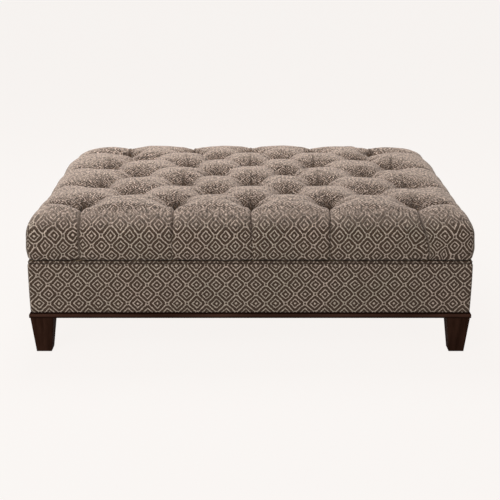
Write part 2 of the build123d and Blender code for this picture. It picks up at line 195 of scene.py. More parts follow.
def buildWoodGrain():
    sizes = {"Stretch": (1.0, 1.0, 0.08), "Fineness": 90.0}
    group, given, made = newGroup("woodGrain", {"Vector": None} | sizes, ("Streak", "Pores", "Cloud"))
    stretched = vectorMath("MULTIPLY", given["Vector"], given["Stretch"])[0]
    bend = vectorMath("MULTIPLY", noiseOf(stretched, 9.0)["Color"], (0.03, 0.03, 0.03))[0]
    bent = vectorMath("ADD", stretched, bend)[0]
    streak = rampOf(noiseOf(bent, given["Fineness"], 4.0, 0.6)[0], (0.3, 0), (0.7, 1))
    pores = rampOf(noiseOf(bent, times(given["Fineness"], 6.0))[0], (0.42, 0), (0.52, 1))
    setInputs(made, {"Streak": streak, "Pores": pores, "Cloud": noiseOf(given["Vector"], 11.0)[0]})
    return group


def buildEdgeWear():
    # 1 along edges, within a small radius, broken up by noise
    group, given, made = newGroup("edgeWear", {"Vector": None, "Breakup": 60.0}, ("Mask",))
    bevel = addNode(group, "ShaderNodeBevel", {"Radius": 0.0022}, samples=6)[0]
    turned = vectorMath("DOT_PRODUCT", bevel, addNode(group, "ShaderNodeNewGeometry")["Normal"])["Value"]
    edge = calc("MULTIPLY", minus(1.0, turned), 7.0, clamp=True)
    breakup = rampOf(noiseOf(given["Vector"], given["Breakup"], 3.0)[0], (0.42, 0), (0.62, 1))
    setInputs(made, {"Mask": times(edge, breakup)})
    return group


def buildPlating():
    group, given, made = newGroup("zincPlating", {"Vector": None, "Spangle": 700.0}, ("Tone", "Scratch"))
    flakes = joinNode("ShaderNodeTexVoronoi", {"Vector": given["Vector"], "Scale": given["Spangle"]})
    scratch = noiseOf(given["Vector"], 1500.0, 3.0)[0]
    setInputs(made, {"Tone": splitXyz(flakes["Color"])[0], "Scratch": scratch})
    return group


jacquardDiamonds = buildJacquard(jacquard)
yarnGrain = buildYarnGrain()
woodGrain = buildWoodGrain()
edgeWear = buildEdgeWear()
zincPlating = buildPlating()

fabricLook = {
    "repeat": (0.057, 0.058),  # one diamond's width and height
    "stray": (0.07, 0.09),  # wobble of the rows and fray of the yarns
    "topGather": 0.74,  # on top the cloth is drawn together, so the pattern looks smaller and strays
    "topStray": (0.34, 0.13),
    "lightYarn": (0.585, 0.463, 0.382),
    "lightYarnCool": (0.535, 0.452, 0.362),
    "darkYarn": (0.070, 0.045, 0.031),
    "topYarn": (0.42, 0.333, 0.280),  # the light yarn where the cloth faces up, in a duller tone than on the sides
    "paintedSheenPile": (0.370, 0.292, 0.242),  # painted sheen: a pale fuzz colour mixed in where the cloth turns away and round the roll
    "foldShadeTone": (0.036, 0.020, 0.011),  # painted shade down in seams, pleats and tufts
    "gatherZone": ((0.78, 0), (0.97, 1)),  # these zones go from 0 on upright cloth to 1 on flat cloth
    "topZone": ((0.50, 0), (0.95, 1)),
    "sheenRollZone": ((0.30, 0), (0.60, 0.22), (0.80, 0.38), (0.90, 0.30), (1.0, 0.0)),
    "sheenFacingZone": ((0.42, 0), (0.80, 0.55)),  # and this one from 0 on cloth seen square on
    "yarnTones": ((0.15, 0.35), (0.8, 1.35)),
    "topMottle": 0.72,
    "fleckStretch": (1.0, 0.42, 1.0),
    "fleckScale": 160.0,
    "fleckTones": ((0.32, 0.0), (0.68, 2.0)),
    "gloss": {"Sheen Weight": 0.14, "Sheen Roughness": 0.45, "Sheen Tint": (1.0, 0.88, 0.79, 1),
              "Specular IOR Level": 0.15},
    "yarnSize": 0.0021,
    "relief": 0.0007,
}


def coverFabric(name, shift, f):
    # The shift moves the pattern on the cloth, so that each side starts where the photo shows it
    material, tree, shader = newMaterial(name, **f["gloss"])
    moved = joinNode("ShaderNodeMapping", {"Vector": addNode(tree, "ShaderNodeUVMap", uv_map="cloth")[0],
                                           "Location": shift})[0]
    upShare, fold = [addNode(tree, "ShaderNodeAttribute", attribute_name=label)["Fac"]
                   for label in ("upFacing", "foldShade")]
    masks = []
    for gather, (wobble, fray) in ((1.0, f["stray"]), (f["topGather"], f["topStray"])):
        width, height = [size * gather for size in f["repeat"]]
        masks.append(placeGroup(jacquardDiamonds, Vector=moved, RepeatWidth=width, RepeatHeight=height,
                                Wobble=wobble, Fray=fray)["Mask"])
    blend = rampOf(upShare, *f["gatherZone"])
    mask = plus(times(masks[1], blend), times(masks[0], minus(1.0, blend)))
    yarn = placeGroup(yarnGrain, Vector=moved, YarnSize=f["yarnSize"])
    light = mixColor(rampOf(yarn["Slow"], (0.35, 0), (0.65, 1)), f["lightYarn"], f["lightYarnCool"])
    light = mixColor(rampOf(upShare, *f["topZone"]), light, f["topYarn"])
    # Painted sheen: the pile colour is mixed in where the cloth turns from the view, and round the roll
    turned = addNode(tree, "ShaderNodeLayerWeight", {"Blend": 0.5})["Facing"]
    turned = times(rampOf(turned, *f["sheenFacingZone"]), scaled(upShare, 0.7, 0.3))
    turned = calc("ADD", turned, rampOf(upShare, *f["sheenRollZone"]), clamp=True)
    color = mixColor(turned, mixColor(mask, f["darkYarn"], light), f["paintedSheenPile"])
    # Painted shade in seams, pleats and tufts, from the foldShade attribute
    color = mixColor(fold, color, f["foldShadeTone"])
    color = mixColor(0.6, color, rampOf(yarn["Tone"], *f["yarnTones"]), "MULTIPLY")
    flecks = noiseOf(vectorMath("MULTIPLY", moved, f["fleckStretch"])[0], f["fleckScale"])[0]
    color = mixColor(times(upShare, f["topMottle"]), color, rampOf(flecks, *f["fleckTones"]), "MULTIPLY")
    height = scaled(mask, 0.45, times(yarn["Height"], 0.55))
    finishShader(shader, color, scaled(yarn["Tone"], 0.15, 0.78), height, 0.8, f["relief"])
    return material


def woodMaterial(name, stretch, w):
    material, tree, shader = newMaterial(name, **{"Specular IOR Level": w["gloss"], "IOR": w["ior"]})
    place = addNode(tree, "ShaderNodeTexCoord")["Object"]
    grain = placeGroup(woodGrain, Vector=place, Stretch=stretch, Fineness=w["fineness"])
    wear = placeGroup(edgeWear, Vector=place)["Mask"]
    color = mixColor(grain["Streak"], w["dark"], w["light"])
    color = mixColor(0.5, color, rampOf(grain["Cloud"], (0.2, 0.6), (0.8, 1.3)), "MULTIPLY")
    color = mixColor(wear, color, w["wearTone"])
    # Painted shade in bands of height, such as a moulding's quirk and lower edge
    if "paintedShadeLevels" in w:
        color = mixColor(rampOf(times(splitXyz(place)[2], 4.0), *w["paintedShadeLevels"]), color, w["paintedShadeTone"])
    roughness = scaled(wear, 0.2, scaled(grain["Streak"], 0.12, w["roughness"]))
    finishShader(shader, color, roughness, times(grain["Pores"], 0.6), 0.5, w["relief"])
    return material


def softMaterial(name, dark, light, size, roughness, relief, sheen=0.0):
    material, tree, shader = newMaterial(name, **{"Sheen Weight": sheen, "Specular IOR Level": 0.3})
    yarn = placeGroup(yarnGrain, Vector=addNode(tree, "ShaderNodeTexCoord")["Object"], YarnSize=size)
    color = mixColor(yarn["Tone"], dark, light)
    color = mixColor(0.4, color, rampOf(yarn["Slow"], (0.2, 0.6), (0.8, 1.2)), "MULTIPLY")
    finishShader(shader, color, scaled(yarn["Tone"], 0.12, roughness), yarn["Height"], 0.6, relief)
    return material


def platedMaterial(name, dark, light, worn):
    material, tree, shader = newMaterial(name, Metallic=1.0)
    place = addNode(tree, "ShaderNodeTexCoord")["Object"]
    plating = placeGroup(zincPlating, Vector=place)
    wear = placeGroup(edgeWear, Vector=place, Breakup=300.0)["Mask"]
    color = mixColor(wear, mixColor(plating["Tone"], dark, light), worn)
    finishShader(shader, color, scaled(plating["Scratch"], 0.3, 0.25), plating["Scratch"], 0.3, 0.00008)
    return material


cushionFabric = coverFabric("cushionFabric", (0.007, -0.0064, 0.0), fabricLook)
bandFabric = coverFabric("bandFabric", (0.126, -0.244, 0.0), fabricLook)
espresso = {"dark": (0.019, 0.0078, 0.0046), "light": (0.050, 0.0220, 0.0140), "fineness": 70.0,
            "wearTone": (0.075, 0.036, 0.022), "roughness": 0.5, "gloss": 0.03, "ior": 1.12,
            "relief": 0.00025}
# The moulding's face is a little lighter, and painted shade darkens its quirk and its lower edge
trim = espresso | {"dark": (0.034, 0.0145, 0.0095), "light": (0.078, 0.036, 0.0245),
                   "paintedShadeLevels": ((0.448, 0.85), (0.462, 0.7), (0.472, 0), (0.494, 0), (0.500, 0.9)),
                   "paintedShadeTone": (0.006, 0.0022, 0.0012)}
plainWood = {"dark": (0.36, 0.22, 0.11), "light": (0.60, 0.44, 0.27), "wearTone": (0.66, 0.52, 0.36),
             "fineness": 60.0, "roughness": 0.6, "gloss": 0.4, "ior": 1.45, "relief": 0.0003}
plywood = plainWood | {"dark": (0.46, 0.31, 0.17), "light": (0.68, 0.52, 0.34), "wearTone": (0.5, 0.35, 0.2),
                       "fineness": 30.0, "roughness": 0.65, "relief": 0.0002}
woods = {name: woodMaterial(name, stretch, look) for name, stretch, look in (
    ("espressoUpright", (1.0, 1.0, 0.07), espresso),
    ("trimLong", (0.07, 1.0, 1.0), trim),
    ("trimCross", (1.0, 0.07, 1.0), trim),
    ("frameWoodLong", (0.06, 1.0, 1.0), plainWood),
    ("frameWoodCross", (1.0, 0.06, 1.0), plainWood),
    ("plywoodSheet", (0.05, 0.6, 3.0), plywood),
)}
# Dark and light tone, grain size, roughness, relief and sheen
softs = {name: softMaterial(name, *look) for name, look in {
    "foamCut": ((0.62, 0.55, 0.34), (0.82, 0.76, 0.54), 0.0014, 0.85, 0.0006, 0.1),
    "twineWaxed": ((0.45, 0.38, 0.26), (0.75, 0.68, 0.52), 0.0006, 0.55, 0.0002),
    "washerFibre": ((0.10, 0.035, 0.018), (0.22, 0.085, 0.045), 0.0009, 0.6, 0.0001),
    "blackCambric": ((0.010, 0.010, 0.011), (0.045, 0.045, 0.048), 0.0010, 0.85, 0.0002, 0.15),
    "glidePlastic": ((0.02, 0.02, 0.02), (0.045, 0.045, 0.045), 0.0007, 0.5, 0.00005),
    "stitchThread": ((0.020, 0.013, 0.010), (0.055, 0.038, 0.028), 0.0005, 0.7, 0.0001),
}.items()}
zincSteel = platedMaterial("zincSteel", (0.42, 0.41, 0.38), (0.66, 0.66, 0.63), (0.3, 0.27, 0.24))
print("materials made")

# Finishes of the CAD nodes that stay; the heads of the brads are filled and stained over
corners = ("front_left", "front_right", "back_right", "back_left")
nodeFinish = {
    woods["espressoUpright"]: [f"{corner}_leg" for corner in corners] + ["moulding_brads"],
    woods["trimLong"]: ["front_moulding", "back_moulding"],
    woods["trimCross"]: ["left_moulding", "right_moulding"],
    woods["frameWoodLong"]: ["front_rail", "back_rail"] + [f"{corner}_block" for corner in corners],
    woods["frameWoodCross"]: ["left_rail", "right_rail", "left_cross_rail", "right_cross_rail"],
    woods["plywoodSheet"]: ["tufting_deck"],
    softs["glidePlastic"]: [f"{corner}_glide" for corner in corners],
    softs["twineWaxed"]: ["tuft_twines"],
    softs["washerFibre"]: ["tuft_washers"],
    zincSteel: ["leg_plates", "hanger_bolts", "plate_screws", "rail_screws", "block_screws", "deck_screws",
                "dust_cover_staples"],
}
for finish, names in nodeFinish.items():
    for name in names:
        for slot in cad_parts[name].material_slots:
            slot.material = finish
print("finishes put on", sum(len(names) for names in nodeFinish.values()), "parts")


def addPiece(name, data):
    piece = bpy.data.objects.new(name, data)
    scene.collection.objects.link(piece)
    return piece


def makeMesh(name, points, faces, cornerUvs, material):
    mesh = bpy.data.meshes.new(name)
    mesh.from_pydata(points, [], faces)
    if cornerUvs is not None:
        layer = mesh.uv_layers.new(name="cloth")
        layer.data.foreach_set("uv", np.asarray(cornerUvs, dtype=np.float32).ravel())
    mesh.materials.append(material)
    mesh.polygons.foreach_set("use_smooth", [True] * len(mesh.polygons))
    mesh.update()
    return addPiece(name, mesh)


def storeValues(piece, name, values):
    made = piece.data.attributes.new(name, "FLOAT", "POINT")
    full = np.pad(values, (0, len(piece.data.vertices) - len(values)))
    made.data.foreach_set("value", full.astype(np.float32))


def smoothStep(value, start=0.0, length=1.0):
    share = min(1.0, max(0.0, (value - start) / length))
    return share * share * (3 - 2 * share)


def bell(away, reach, power=2):
    return np.exp(-(away / reach) ** power)


settle = {
    "frames": 14,
    "cloth": {
        "quality": 6,
        "mass": 0.3,
        "tension_stiffness": 18,
        "compression_stiffness": 18,
        "shear_stiffness": 6,
        "bending_stiffness": 0.4,
        "vertex_group_mass": "held",
        "shrink_min": -0.015,  # the cloth is cut a little full, so it gathers round the tufts
        "use_pressure": True,
        "uniform_pressure_force": 0.6,
    },
    "cap": 0.006,  # no point moves farther than this
    "room": 0.004,  # the cushion starts smaller by this, because it swells
}


def settleCloth(points, held, wide, deep, t):
    # Cloth simulation on every second line of the grid, held at the tufts, pleats and seam
    coarse = points.reshape(deep, wide, 3)[::2, ::2]
    rows, columns = coarse.shape[:2]
    faces = [(j * columns + i, j * columns + i + 1, (j + 1) * columns + i + 1, (j + 1) * columns + i)
             for j in range(rows - 1) for i in range(columns - 1)]
    mesh = bpy.data.meshes.new("settlingCloth")
    mesh.from_pydata(coarse.reshape(-1, 3).tolist(), [], faces)
    piece = addPiece("settlingCloth", mesh)
    group = piece.vertex_groups.new(name="held")
    for index, weight in enumerate(held.reshape(deep, wide)[::2, ::2].ravel()):
        group.add([index], float(min(1.0, weight)), "REPLACE")
    modifier = piece.modifiers.new("settle", "CLOTH")
    modifier.collision_settings.use_collision = False
    for name, value in t["cloth"].items():
        setattr(modifier.settings, name, value)
    modifier.settings.effector_weights.gravity = 0
    modifier.point_cache.frame_start, modifier.point_cache.frame_end = 1, t["frames"]
    for count in range(1, t["frames"] + 1):
        scene.frame_set(count)
    evaluated = piece.evaluated_get(bpy.context.evaluated_depsgraph_get())
    settled = np.empty(coarse.size, dtype=np.float32)
    evaluated.data.vertices.foreach_get("co", settled)
    moved = settled.reshape(coarse.shape) - coarse
    size = np.linalg.norm(moved, axis=2, keepdims=True)
    mean, largest = [round(float(value) * 1000, 2) for value in (size.mean(), size.max())]
    print("cloth settled: mean move", mean, "mm, largest", largest)
    moved *= np.minimum(1.0, t["cap"] / np.maximum(size, 1e-9))
    bpy.data.objects.remove(piece)
    bpy.data.meshes.remove(mesh)
    scene.frame_set(1)
    full = np.zeros((deep, wide, 3))
    full[::2, ::2] = moved
    full[1::2, ::2] = (full[:-1:2, ::2] + full[2::2, ::2]) / 2
    full[:, 1::2] = (full[:, :-1:2] + full[:, 2::2]) / 2
    return points + full.reshape(-1, 3)


def noiseAt(x, y, z):
    return noise.noise(Vector((x, y, z)))


def fromCorner(x, y, straightX, straightY):
    # Nearest place on the rectangle between the rounded corners, and the direction outwards from it
    nearX, nearY = max(-straightX, min(straightX, x)), max(-straightY, min(straightY, y))
    far = math.hypot(x - nearX, y - nearY)
    return (nearX, nearY), ((x - nearX) / far, (y - nearY) / far)


# The tufted cushion
cushion = {
    "halfWidth": 0.6435,
    "halfDepth": 0.479,
    "seamLevel": 0.285,
    "edgeLevel": 0.421,
    "rollRadius": 0.070,
    "crownRise": 0.023,
    "frontLift": 0.012,  # the front pillows stand a little fuller
    "liftZone": (0.20, 0.15),  # a zone is where something starts, and the length over which it grows
    "sideDraw": (0.0075, 2.4),  # how far the side draws in towards the seam, and how late
    "sideCrowding": 1.5,  # draws the grid together near the seam
    "seamTuck": 0.0058,  # how far the last of the side turns in to the seam
    "tuckZone": (0.92, 0.08),
    "corners": (0.070, 0.036, 0.016),  # plan radius of the corners on top, halfway down and at the seam
    "columns": (0.4825, 0.371525, 0.217125, 0.1133875, 0.0),
    "rowSpan": 0.352,
    "cellSteps": 24,
    "marginSteps": (10, 18, 16),  # on the flat, round the roll and down the side
    "crowding": 0.55,  # draws the grid together near the tufts
    "tuftDepth": (0.026, 0.10),  # and how much it varies
    "tuftReach": (0.078, 0.054),  # how far outwards an outer tuft's dent reaches, at the back last
    "creaseShare": 0.38,
    "pillow": (2.4, 0.85),  # how flat its middle is, and how full it is
    "pleat": {
        "depth": 0.014,
        "lost": 0.6,  # share of the depth lost on the way down
        "lostZone": (0.10, 0.12),
        "dip": 0.45,
        "dipReach": 0.032,
        "line": 0.0038,
        "lean": 0.20,  # one lip of the line stands higher than the other
        "leanReach": 0.010,
        "starts": ((1.0, 0.05), (0.2, 0.14)),  # sharpness, and where it is deep; the back last
        "cornerStart": (1.0, 0.035),
        "drift": (0.0, -0.003, 0.003, 0.0, 0.030),  # sideways run of the front pleats down to the seam
        "driftZone": (0.3, 0.5),
    },
    "pleatShadeLine": (0.0020, 0.85, 0.12, 0.25),  # painted shade along a pleat: width of its line, dark near the tuft, reach, dark after
    "heldPleat": (0.6, 0.2),  # hold on the pleats while the cloth settles, and the painted shade that it begins at
    "heldSide": 0.45,
    "heldReach": 0.016,
    "wellDepth": 0.040,  # the pull of the twine, which dies away round a tuft
    "wellReach": 0.030,
    "wellPower": 1.15,
    "crownWell": 0.35,  # the middle tufts lie deeper, because the crown stands higher there
    "pitDepth": 0.006,
    "pitReach": 0.012,
    "tuftShade": (0.95, 0.013, 0.033, 0.46, 0.040),  # dark slot and its size, dark round it and its reach
    "creaseLength": (0.052, 0.0, 0.075, 0.0, 0.090, 0.0, 0.0),  # line behind a tuft, dented and darkened with painted shade, front row first
    "creaseDepth": 0.0045,
    "creaseWidth": 0.025,  # in cells
    "creaseSide": 0.4,  # depth beside its line
    "wrinkles": (7, 10),
    "wrinkleSize": (0.0045, 0.030, 0.010),  # height, reach, and how far from the tuft they begin
    "lumps": ((0.0026, 8, 5), (0.0010, 26, 0)),  # height, fineness and shift of the slow unevenness
    "seamGather": (0.0034, 55, 5),  # height, and fineness along and up
    "seamCalm": 0.85,  # the gathers die away at the seam
    "seamZone": (0.85, 0.15),
    "foamHalfWidth": 0.6060,
    "foamHalfDepth": 0.4415,
    "foamCorner": 0.0455,
    "pocketLevel": 0.3575,
    "leastCloth": 0.002,  # between a tuft and the foam under it
    "deepZone": 0.010,
    "fullness": 1.10,
    "pillowStretch": (1.02, 0.07),
    "gatherLength": 0.016,  # cloth drawn down each wall of a well, beyond its plan length
    "gatherWidth": 0.30,
    "gatherReach": 0.036,
    "frontShift": {1: 0.0, 3: -0.013, 5: 0.0, 7: 0.022},  # how the pattern jumps at the front pleats
    # Reach, fineness and shift of the pattern's stray: all over, low down, and on the corner pillows
    "strays": ((0.004, 6.0, 0.0), (0.0062, 45.0, 9.0), (0.0088, 26.0, 17.0)),
    "swirlZone": (0.58, 0.24),
    "topCalm": 0.8,  # the stray of the corner pillows is less on top
    "topZone": (0.6, 0.35),
    "topFrom": 0.3,  # how far up the cloth faces where it counts as the top
    "pillowFollow": 0.5,  # how far the middle of a pillow moves with the tufts beside it
    "cornerLimit": 0.96,  # the most that the corner's radius takes of the reach
    "seamShadeSteps": 3,  # grid steps over which painted shade darkens the cloth down to the seam
    "seed": 11,
}
# How far the hand-tied tufts lie from the regular lattice, front row first, in metres
tuftStrays = (
    ((-0.004, 0.002), (-0.003, 0.003), (0.002, -0.002), (0.011, 0.003), (-0.002, -0.002)),
    ((0.010, 0.004), (-0.001, 0.000), (0.002, 0.004), (-0.007, -0.003)),
    ((0.012, 0.000), (0.009, 0.005), (0.004, -0.002), (-0.003, 0.003), (0.008, -0.004)),
    ((0.006, -0.003), (0.003, 0.002), (0.005, 0.005), (-0.003, -0.002)),
    ((0.013, 0.002), (0.014, -0.003), (0.003, 0.003), (-0.006, -0.001), (-0.011, 0.003)),
    ((-0.004, 0.002), (-0.008, -0.002), (-0.012, 0.003), (0.003, 0.000)),
    ((0.052, -0.004), (0.018, 0.002), (0.003, -0.003), (0.004, 0.002), (-0.054, 0.003)),
)


def latticeOf(c):
    columns = [-x for x in c["columns"]] + list(c["columns"][-2::-1])
    rows = [c["rowSpan"] * (row / 3 - 1) for row in range(7)]
    places = [[[x, y] for x in columns] for y in rows]
    for row, strays in enumerate(tuftStrays):
        for count, stray in enumerate(strays):
            for axis in (0, 1):
                places[row][2 * count + row % 2][axis] += stray[axis]
    for row in range(7):
        for column in range(1 - row % 2, 9, 2):
            beside = [k for k in (column - 1, column + 1) if 0 <= k < 9]
            moved = sum(places[row][k][0] - columns[k] for k in beside) / len(beside)
            places[row][column][0] += moved * c["pillowFollow"]
    return columns, rows, places


def cushionLines(c, cells):
    # One entry for each grid line: its place between the tufts, its side, and its step outwards
    outward = sum(c["marginSteps"])
    shares = [step / c["cellSteps"] for step in range(c["cellSteps"])]
    shares = [s - c["crowding"] * math.sin(2 * math.pi * s) / (2 * math.pi) for s in shares]
    lines = [(0.0, -1, step) for step in range(outward, 0, -1)]
    lines += [(cell + share, 0, 0) for cell in range(cells) for share in shares] + [(float(cells), 0, 0)]
    return lines + [(float(cells), 1, step) for step in range(1, outward + 1)]


def edgeProfile(c, flat):
    # Outward reach, level, normal and length along the cloth at each step from the outer tufts to the seam
    onFlat, onRoll, onSide = c["marginSteps"]
    radius, top = c["rollRadius"], c["edgeLevel"]
    wall = top - radius - c["seamLevel"]
    profile = [(flat * step / onFlat, top, 0.0, 1.0, flat * step / onFlat) for step in range(onFlat)]
    for turn in [math.pi / 2 * step / onRoll for step in range(onRoll)]:
        out, up = math.sin(turn), math.cos(turn)
        profile.append((flat + radius * out, top - radius * (1 - up), out, up, flat + radius * turn))
    draw, late = c["sideDraw"]
    for step in range(onSide + 1):
        down = 1 - (1 - step / onSide) ** c["sideCrowding"]
        reach = flat + radius - draw * down ** late - c["seamTuck"] * smoothStep(down, *c["tuckZone"])
        length = flat + radius * math.pi / 2 + wall * down
        profile.append((reach, top - radius - wall * down, 1.0, 0.0, length))
    return profile


def pillowShare(u, v, c):
    # Height of a pillow over its tufts: 1 on its middle, 0 at a tuft
    power, puff = c["pillow"]
    first, second = [(1 - min(1.0, abs(at)) ** power) ** puff for at in (u, v)]
    both = first * second
    return c["creaseShare"] * both + (1 - c["creaseShare"]) * (first + second - both)


def pleatDent(across, down, pleat, sharpness, start):
    # The fold that runs from an outer tuft to the seam: a broad dip with a sharp line in it
    depth = pleat["depth"] * (1 - pleat["lost"] * smoothStep(down, *pleat["lostZone"]))
    width = abs(across)
    line = bell(width, pleat["line"], 1)
    if width > 1e-6:
        line += math.copysign(pleat["lean"], across) * bell(width, pleat["leanReach"], 1)
    dip = pleat["dip"] * bell(width, pleat["dipReach"])
    return depth * smoothStep(down / start) * (dip + sharpness * line)


def buildCushion(c):
    columns, rows, places = latticeOf(c)
    acrossLines, alongLines = cushionLines(c, 8), cushionLines(c, 6)
    wide, deep = len(acrossLines), len(alongLines)
    sizes = ((c["halfWidth"], columns), (c["halfDepth"], rows))
    profiles = [edgeProfile(c, half - c["rollRadius"] - lines[-1]) for half, lines in sizes]
    outward, sideTop = sum(c["marginSteps"]), sum(c["marginSteps"][:2])
    pleat = c["pleat"]

    def onLattice(p, q):
        column, row = min(7, int(p)), min(5, int(q))
        s, t = p - column, q - row
        corners = [places[row + b][column + a] for b in (0, 1) for a in (0, 1)]
        weights = ((1 - s) * (1 - t), s * (1 - t), (1 - s) * t, s * t)
        return [sum(weight * corner[axis] for weight, corner in zip(weights, corners)) for axis in (0, 1)]

    def pleatDrift(p, step):
        at = min(3, int(p / 2))
        near, far = pleat["drift"][at:at + 2]
        return (near + (far - near) * (p / 2 - at)) * smoothStep(step / outward, *pleat["driftZone"])

    def cornerRadius(step):
        plain, swell, seam = c["corners"]
        radius = plain + (swell - plain) * smoothStep((step / sideTop - 0.5) * 2)
        if step > sideTop:
            radius = swell + (seam - swell) * (step - sideTop) / (outward - sideTop)
        return min(radius, *[c["cornerLimit"] * profile[step][0] for profile in profiles])

    def onCorner(stepX, stepY):
        # Plan place beyond the corner tuft, outward direction, and the distances to the two pleats
        step = max(stepX, stepY)
        order = 1 if stepX >= stepY else -1
        reach, other = [profile[step][0] for profile in profiles][::order]
        radius = cornerRadius(step)
        leg, arc = other - radius, radius * math.pi / 4
        gone = min(stepX, stepY) / step * (leg + arc)
        place, facing = (reach, gone), (1.0, 0.0)
        if gone > leg:
            turn = (gone - leg) / radius
            facing = (math.cos(turn), math.sin(turn))
            place = (reach - radius + radius * facing[0], leg + radius * facing[1])
        pleats = (gone, leg + (reach - radius) + 2 * arc - gone)
        return place[::order], facing[::order], pleats[::order]

    points, dents, normals, sideShare, foldShade, pleatsAway = [], [], [], [], [], []
    for q, sideY, stepY in alongLines:
        for p, sideX, stepX in acrossLines:
            x, y = onLattice(p, q)
            tuftDepth = c["tuftDepth"][0] * (1 + c["tuftDepth"][1] * noiseAt(x * 4, y * 4, 2.0))
            x += pleatDrift(p, stepY) if sideY < 0 else 0.0
            step, back = max(stepX, stepY), sideY > 0
            place, facing = (profiles[0][stepX][0], profiles[1][stepY][0]), (1, 1)
            pleats, line = (0.0, 0.0), 0.0
            if sideX and sideY:
                place, facing, pleats = onCorner(stepX, stepY)
            ways = zip((sideX, sideY), (columns, rows), place, (x, y), (stepX, stepY))
            x, y = [side * (lines[-1] + reach) + (at - side * lines[-1]) * (1 - gone / outward) ** 2
                    for side, lines, reach, at, gone in ways]
            level, out, up, length = profiles[0 if sideX else 1][step][1:]
            away = math.hypot(*place) + c["edgeLevel"] - level
            outer = 1 - min(1.0, away / c["tuftReach"][back])
            outer = 1 - pillowShare(outer, outer, c)
            if sideX and sideY:
                dent = tuftDepth * outer
                dent += pleatDent(pleats[0], length, pleat, *pleat["cornerStart"])
                dent += pleatDent(pleats[1], profiles[1][step][4], pleat, *pleat["starts"][back])
            elif sideX or sideY:
                at, lines = (q, rows) if sideX else (p, columns)
                cell = min(len(lines) - 2, int(at))
                middle = cell + 1 - cell % 2
                fromMiddle = min(1.0, abs(at - middle))
                tuftLine = middle + (1 if at > middle else -1)
                across = (at - tuftLine) * abs(lines[tuftLine] - lines[middle])
                dent = tuftDepth * (1 - pillowShare(fromMiddle, fromMiddle, c)) * outer
                dent += pleatDent(across, length, pleat, *pleat["starts"][back])
                # Painted shade along the pleat's line
                width, near, reach, after = c["pleatShadeLine"]
                line = bell(across, width) * (near * bell(away, reach) + after)
            else:
                column, row = min(7, int(p)), min(5, int(q))
                s, t = p - column, q - row
                if (column + row) % 2 == 0:
                    a, b = (1 - s, t) if s > t else (s, 1 - t)
                else:
                    a, b = (s, t) if s + t < 1 else (1 - s, 1 - t)
                dent = tuftDepth * (1 - pillowShare(a + b, a - b, c))
            level += c["crownRise"] * (1 - (x / c["halfWidth"]) ** 2) * (1 - (y / c["halfDepth"]) ** 2) * up
            level += c["frontLift"] * smoothStep(-y, *c["liftZone"]) * up
            points.append((x, y, level))
            normals.append((sideX * facing[0] * out, sideY * facing[1] * out, up))
            dents.append(dent)
            pleatsAway.append(pleats)
            sideShare.append(max(0.0, (step - sideTop) / (outward - sideTop)))
            # Painted shade down to the seam, and along each pleat's line
            foldShade.append(max(smoothStep((step - outward + c["seamShadeSteps"]) / c["seamShadeSteps"]), line))

    base, normals, dents = np.array(points), np.array(normals), np.array(dents)
    sideShare, foldShade = np.array(sideShare), np.array(foldShade)
    held = np.array([smoothStep(share / c["heldSide"]) for share in sideShare])
    hold, fromTone = c["heldPleat"]
    held = np.maximum(held, hold * (foldShade > fromTone))
    up, facingUp = normals[:, 2], normals[:, 2] > c["topFrom"]

    # Wells at the tufts, their painted shade, the creases behind them and wrinkles that run out from each
    gathers = {}
    lineP = np.array([place + side * step for place, side, step in acrossLines] * deep)
    chance = random.Random(c["seed"])
    for row in range(7):
        for column in range(row % 2, 9, 2):
            tuftX, tuftY = places[row][column]
            dx, dy = base[:, 0] - tuftX, base[:, 1] - tuftY
            far, angle = np.hypot(dx, dy), np.arctan2(dy, dx)
            middle = (1 - (tuftX / c["halfWidth"]) ** 2) * (1 - (tuftY / c["halfDepth"]) ** 2)
            well = c["wellDepth"] * (0.9 + c["crownWell"] * middle)
            well = well * bell(far, c["wellReach"], c["wellPower"]) * (0.5 + 0.5 * up)
            dents += well + c["pitDepth"] * bell(far, c["pitReach"])
            held = np.maximum(held, bell(far, c["heldReach"]) * facingUp)
            slot, width, length, halo, reach = c["tuftShade"]
            shade = slot * bell(dx, width) * bell(dy, length) + halo * bell(far, reach)
            foldShade = np.maximum(foldShade, np.minimum(1.0, shade) * up)
            gathers[column, row] = bell(far, c["gatherReach"])
            if c["creaseLength"][row]:
                fromLine = np.abs(lineP - column)
                crease = bell(dy, c["creaseLength"][row]) * (dy > 0) * (fromLine < c["creaseWidth"])
                # Painted shade along the crease
                foldShade = np.maximum(foldShade, crease * up)
                dents += c["creaseDepth"] * crease * np.where(fromLine < 1e-6, 1.0, c["creaseSide"])
            folds = chance.randint(*c["wrinkles"])
            phase, twist = chance.uniform(0, 6.28), chance.uniform(0, 6.28)
            wave = np.sin(folds * angle + phase + 0.8 * np.sin(2 * angle + twist))
            wave += 0.5 * np.sin((folds + 5) * angle + twist)
            height, reach, start = c["wrinkleSize"]
            dents += height * bell(far, reach, 1) * (1 - bell(far, start, 1)) * facingUp * wave

    # Slow lumps all over, and small gathers above the seam
    height, along, upwards = c["seamGather"]
    for index, (x, y, z) in enumerate(base):
        low = sideShare[index]
        lump = sum(size * noiseAt(x * fine, y * fine, z * fine + shift) for size, fine, shift in c["lumps"])
        gather = height * noiseAt(x * along, y * along, z * upwards) * smoothStep(low * 1.3)
        dents[index] += lump * (1 - low) + gather * (1 - c["seamCalm"] * smoothStep(low, *c["seamZone"]))
    outer = base - normals * (dents + settle["room"] * (1 - held))[:, None]
    outer = settleCloth(outer, held, wide, deep, settle)

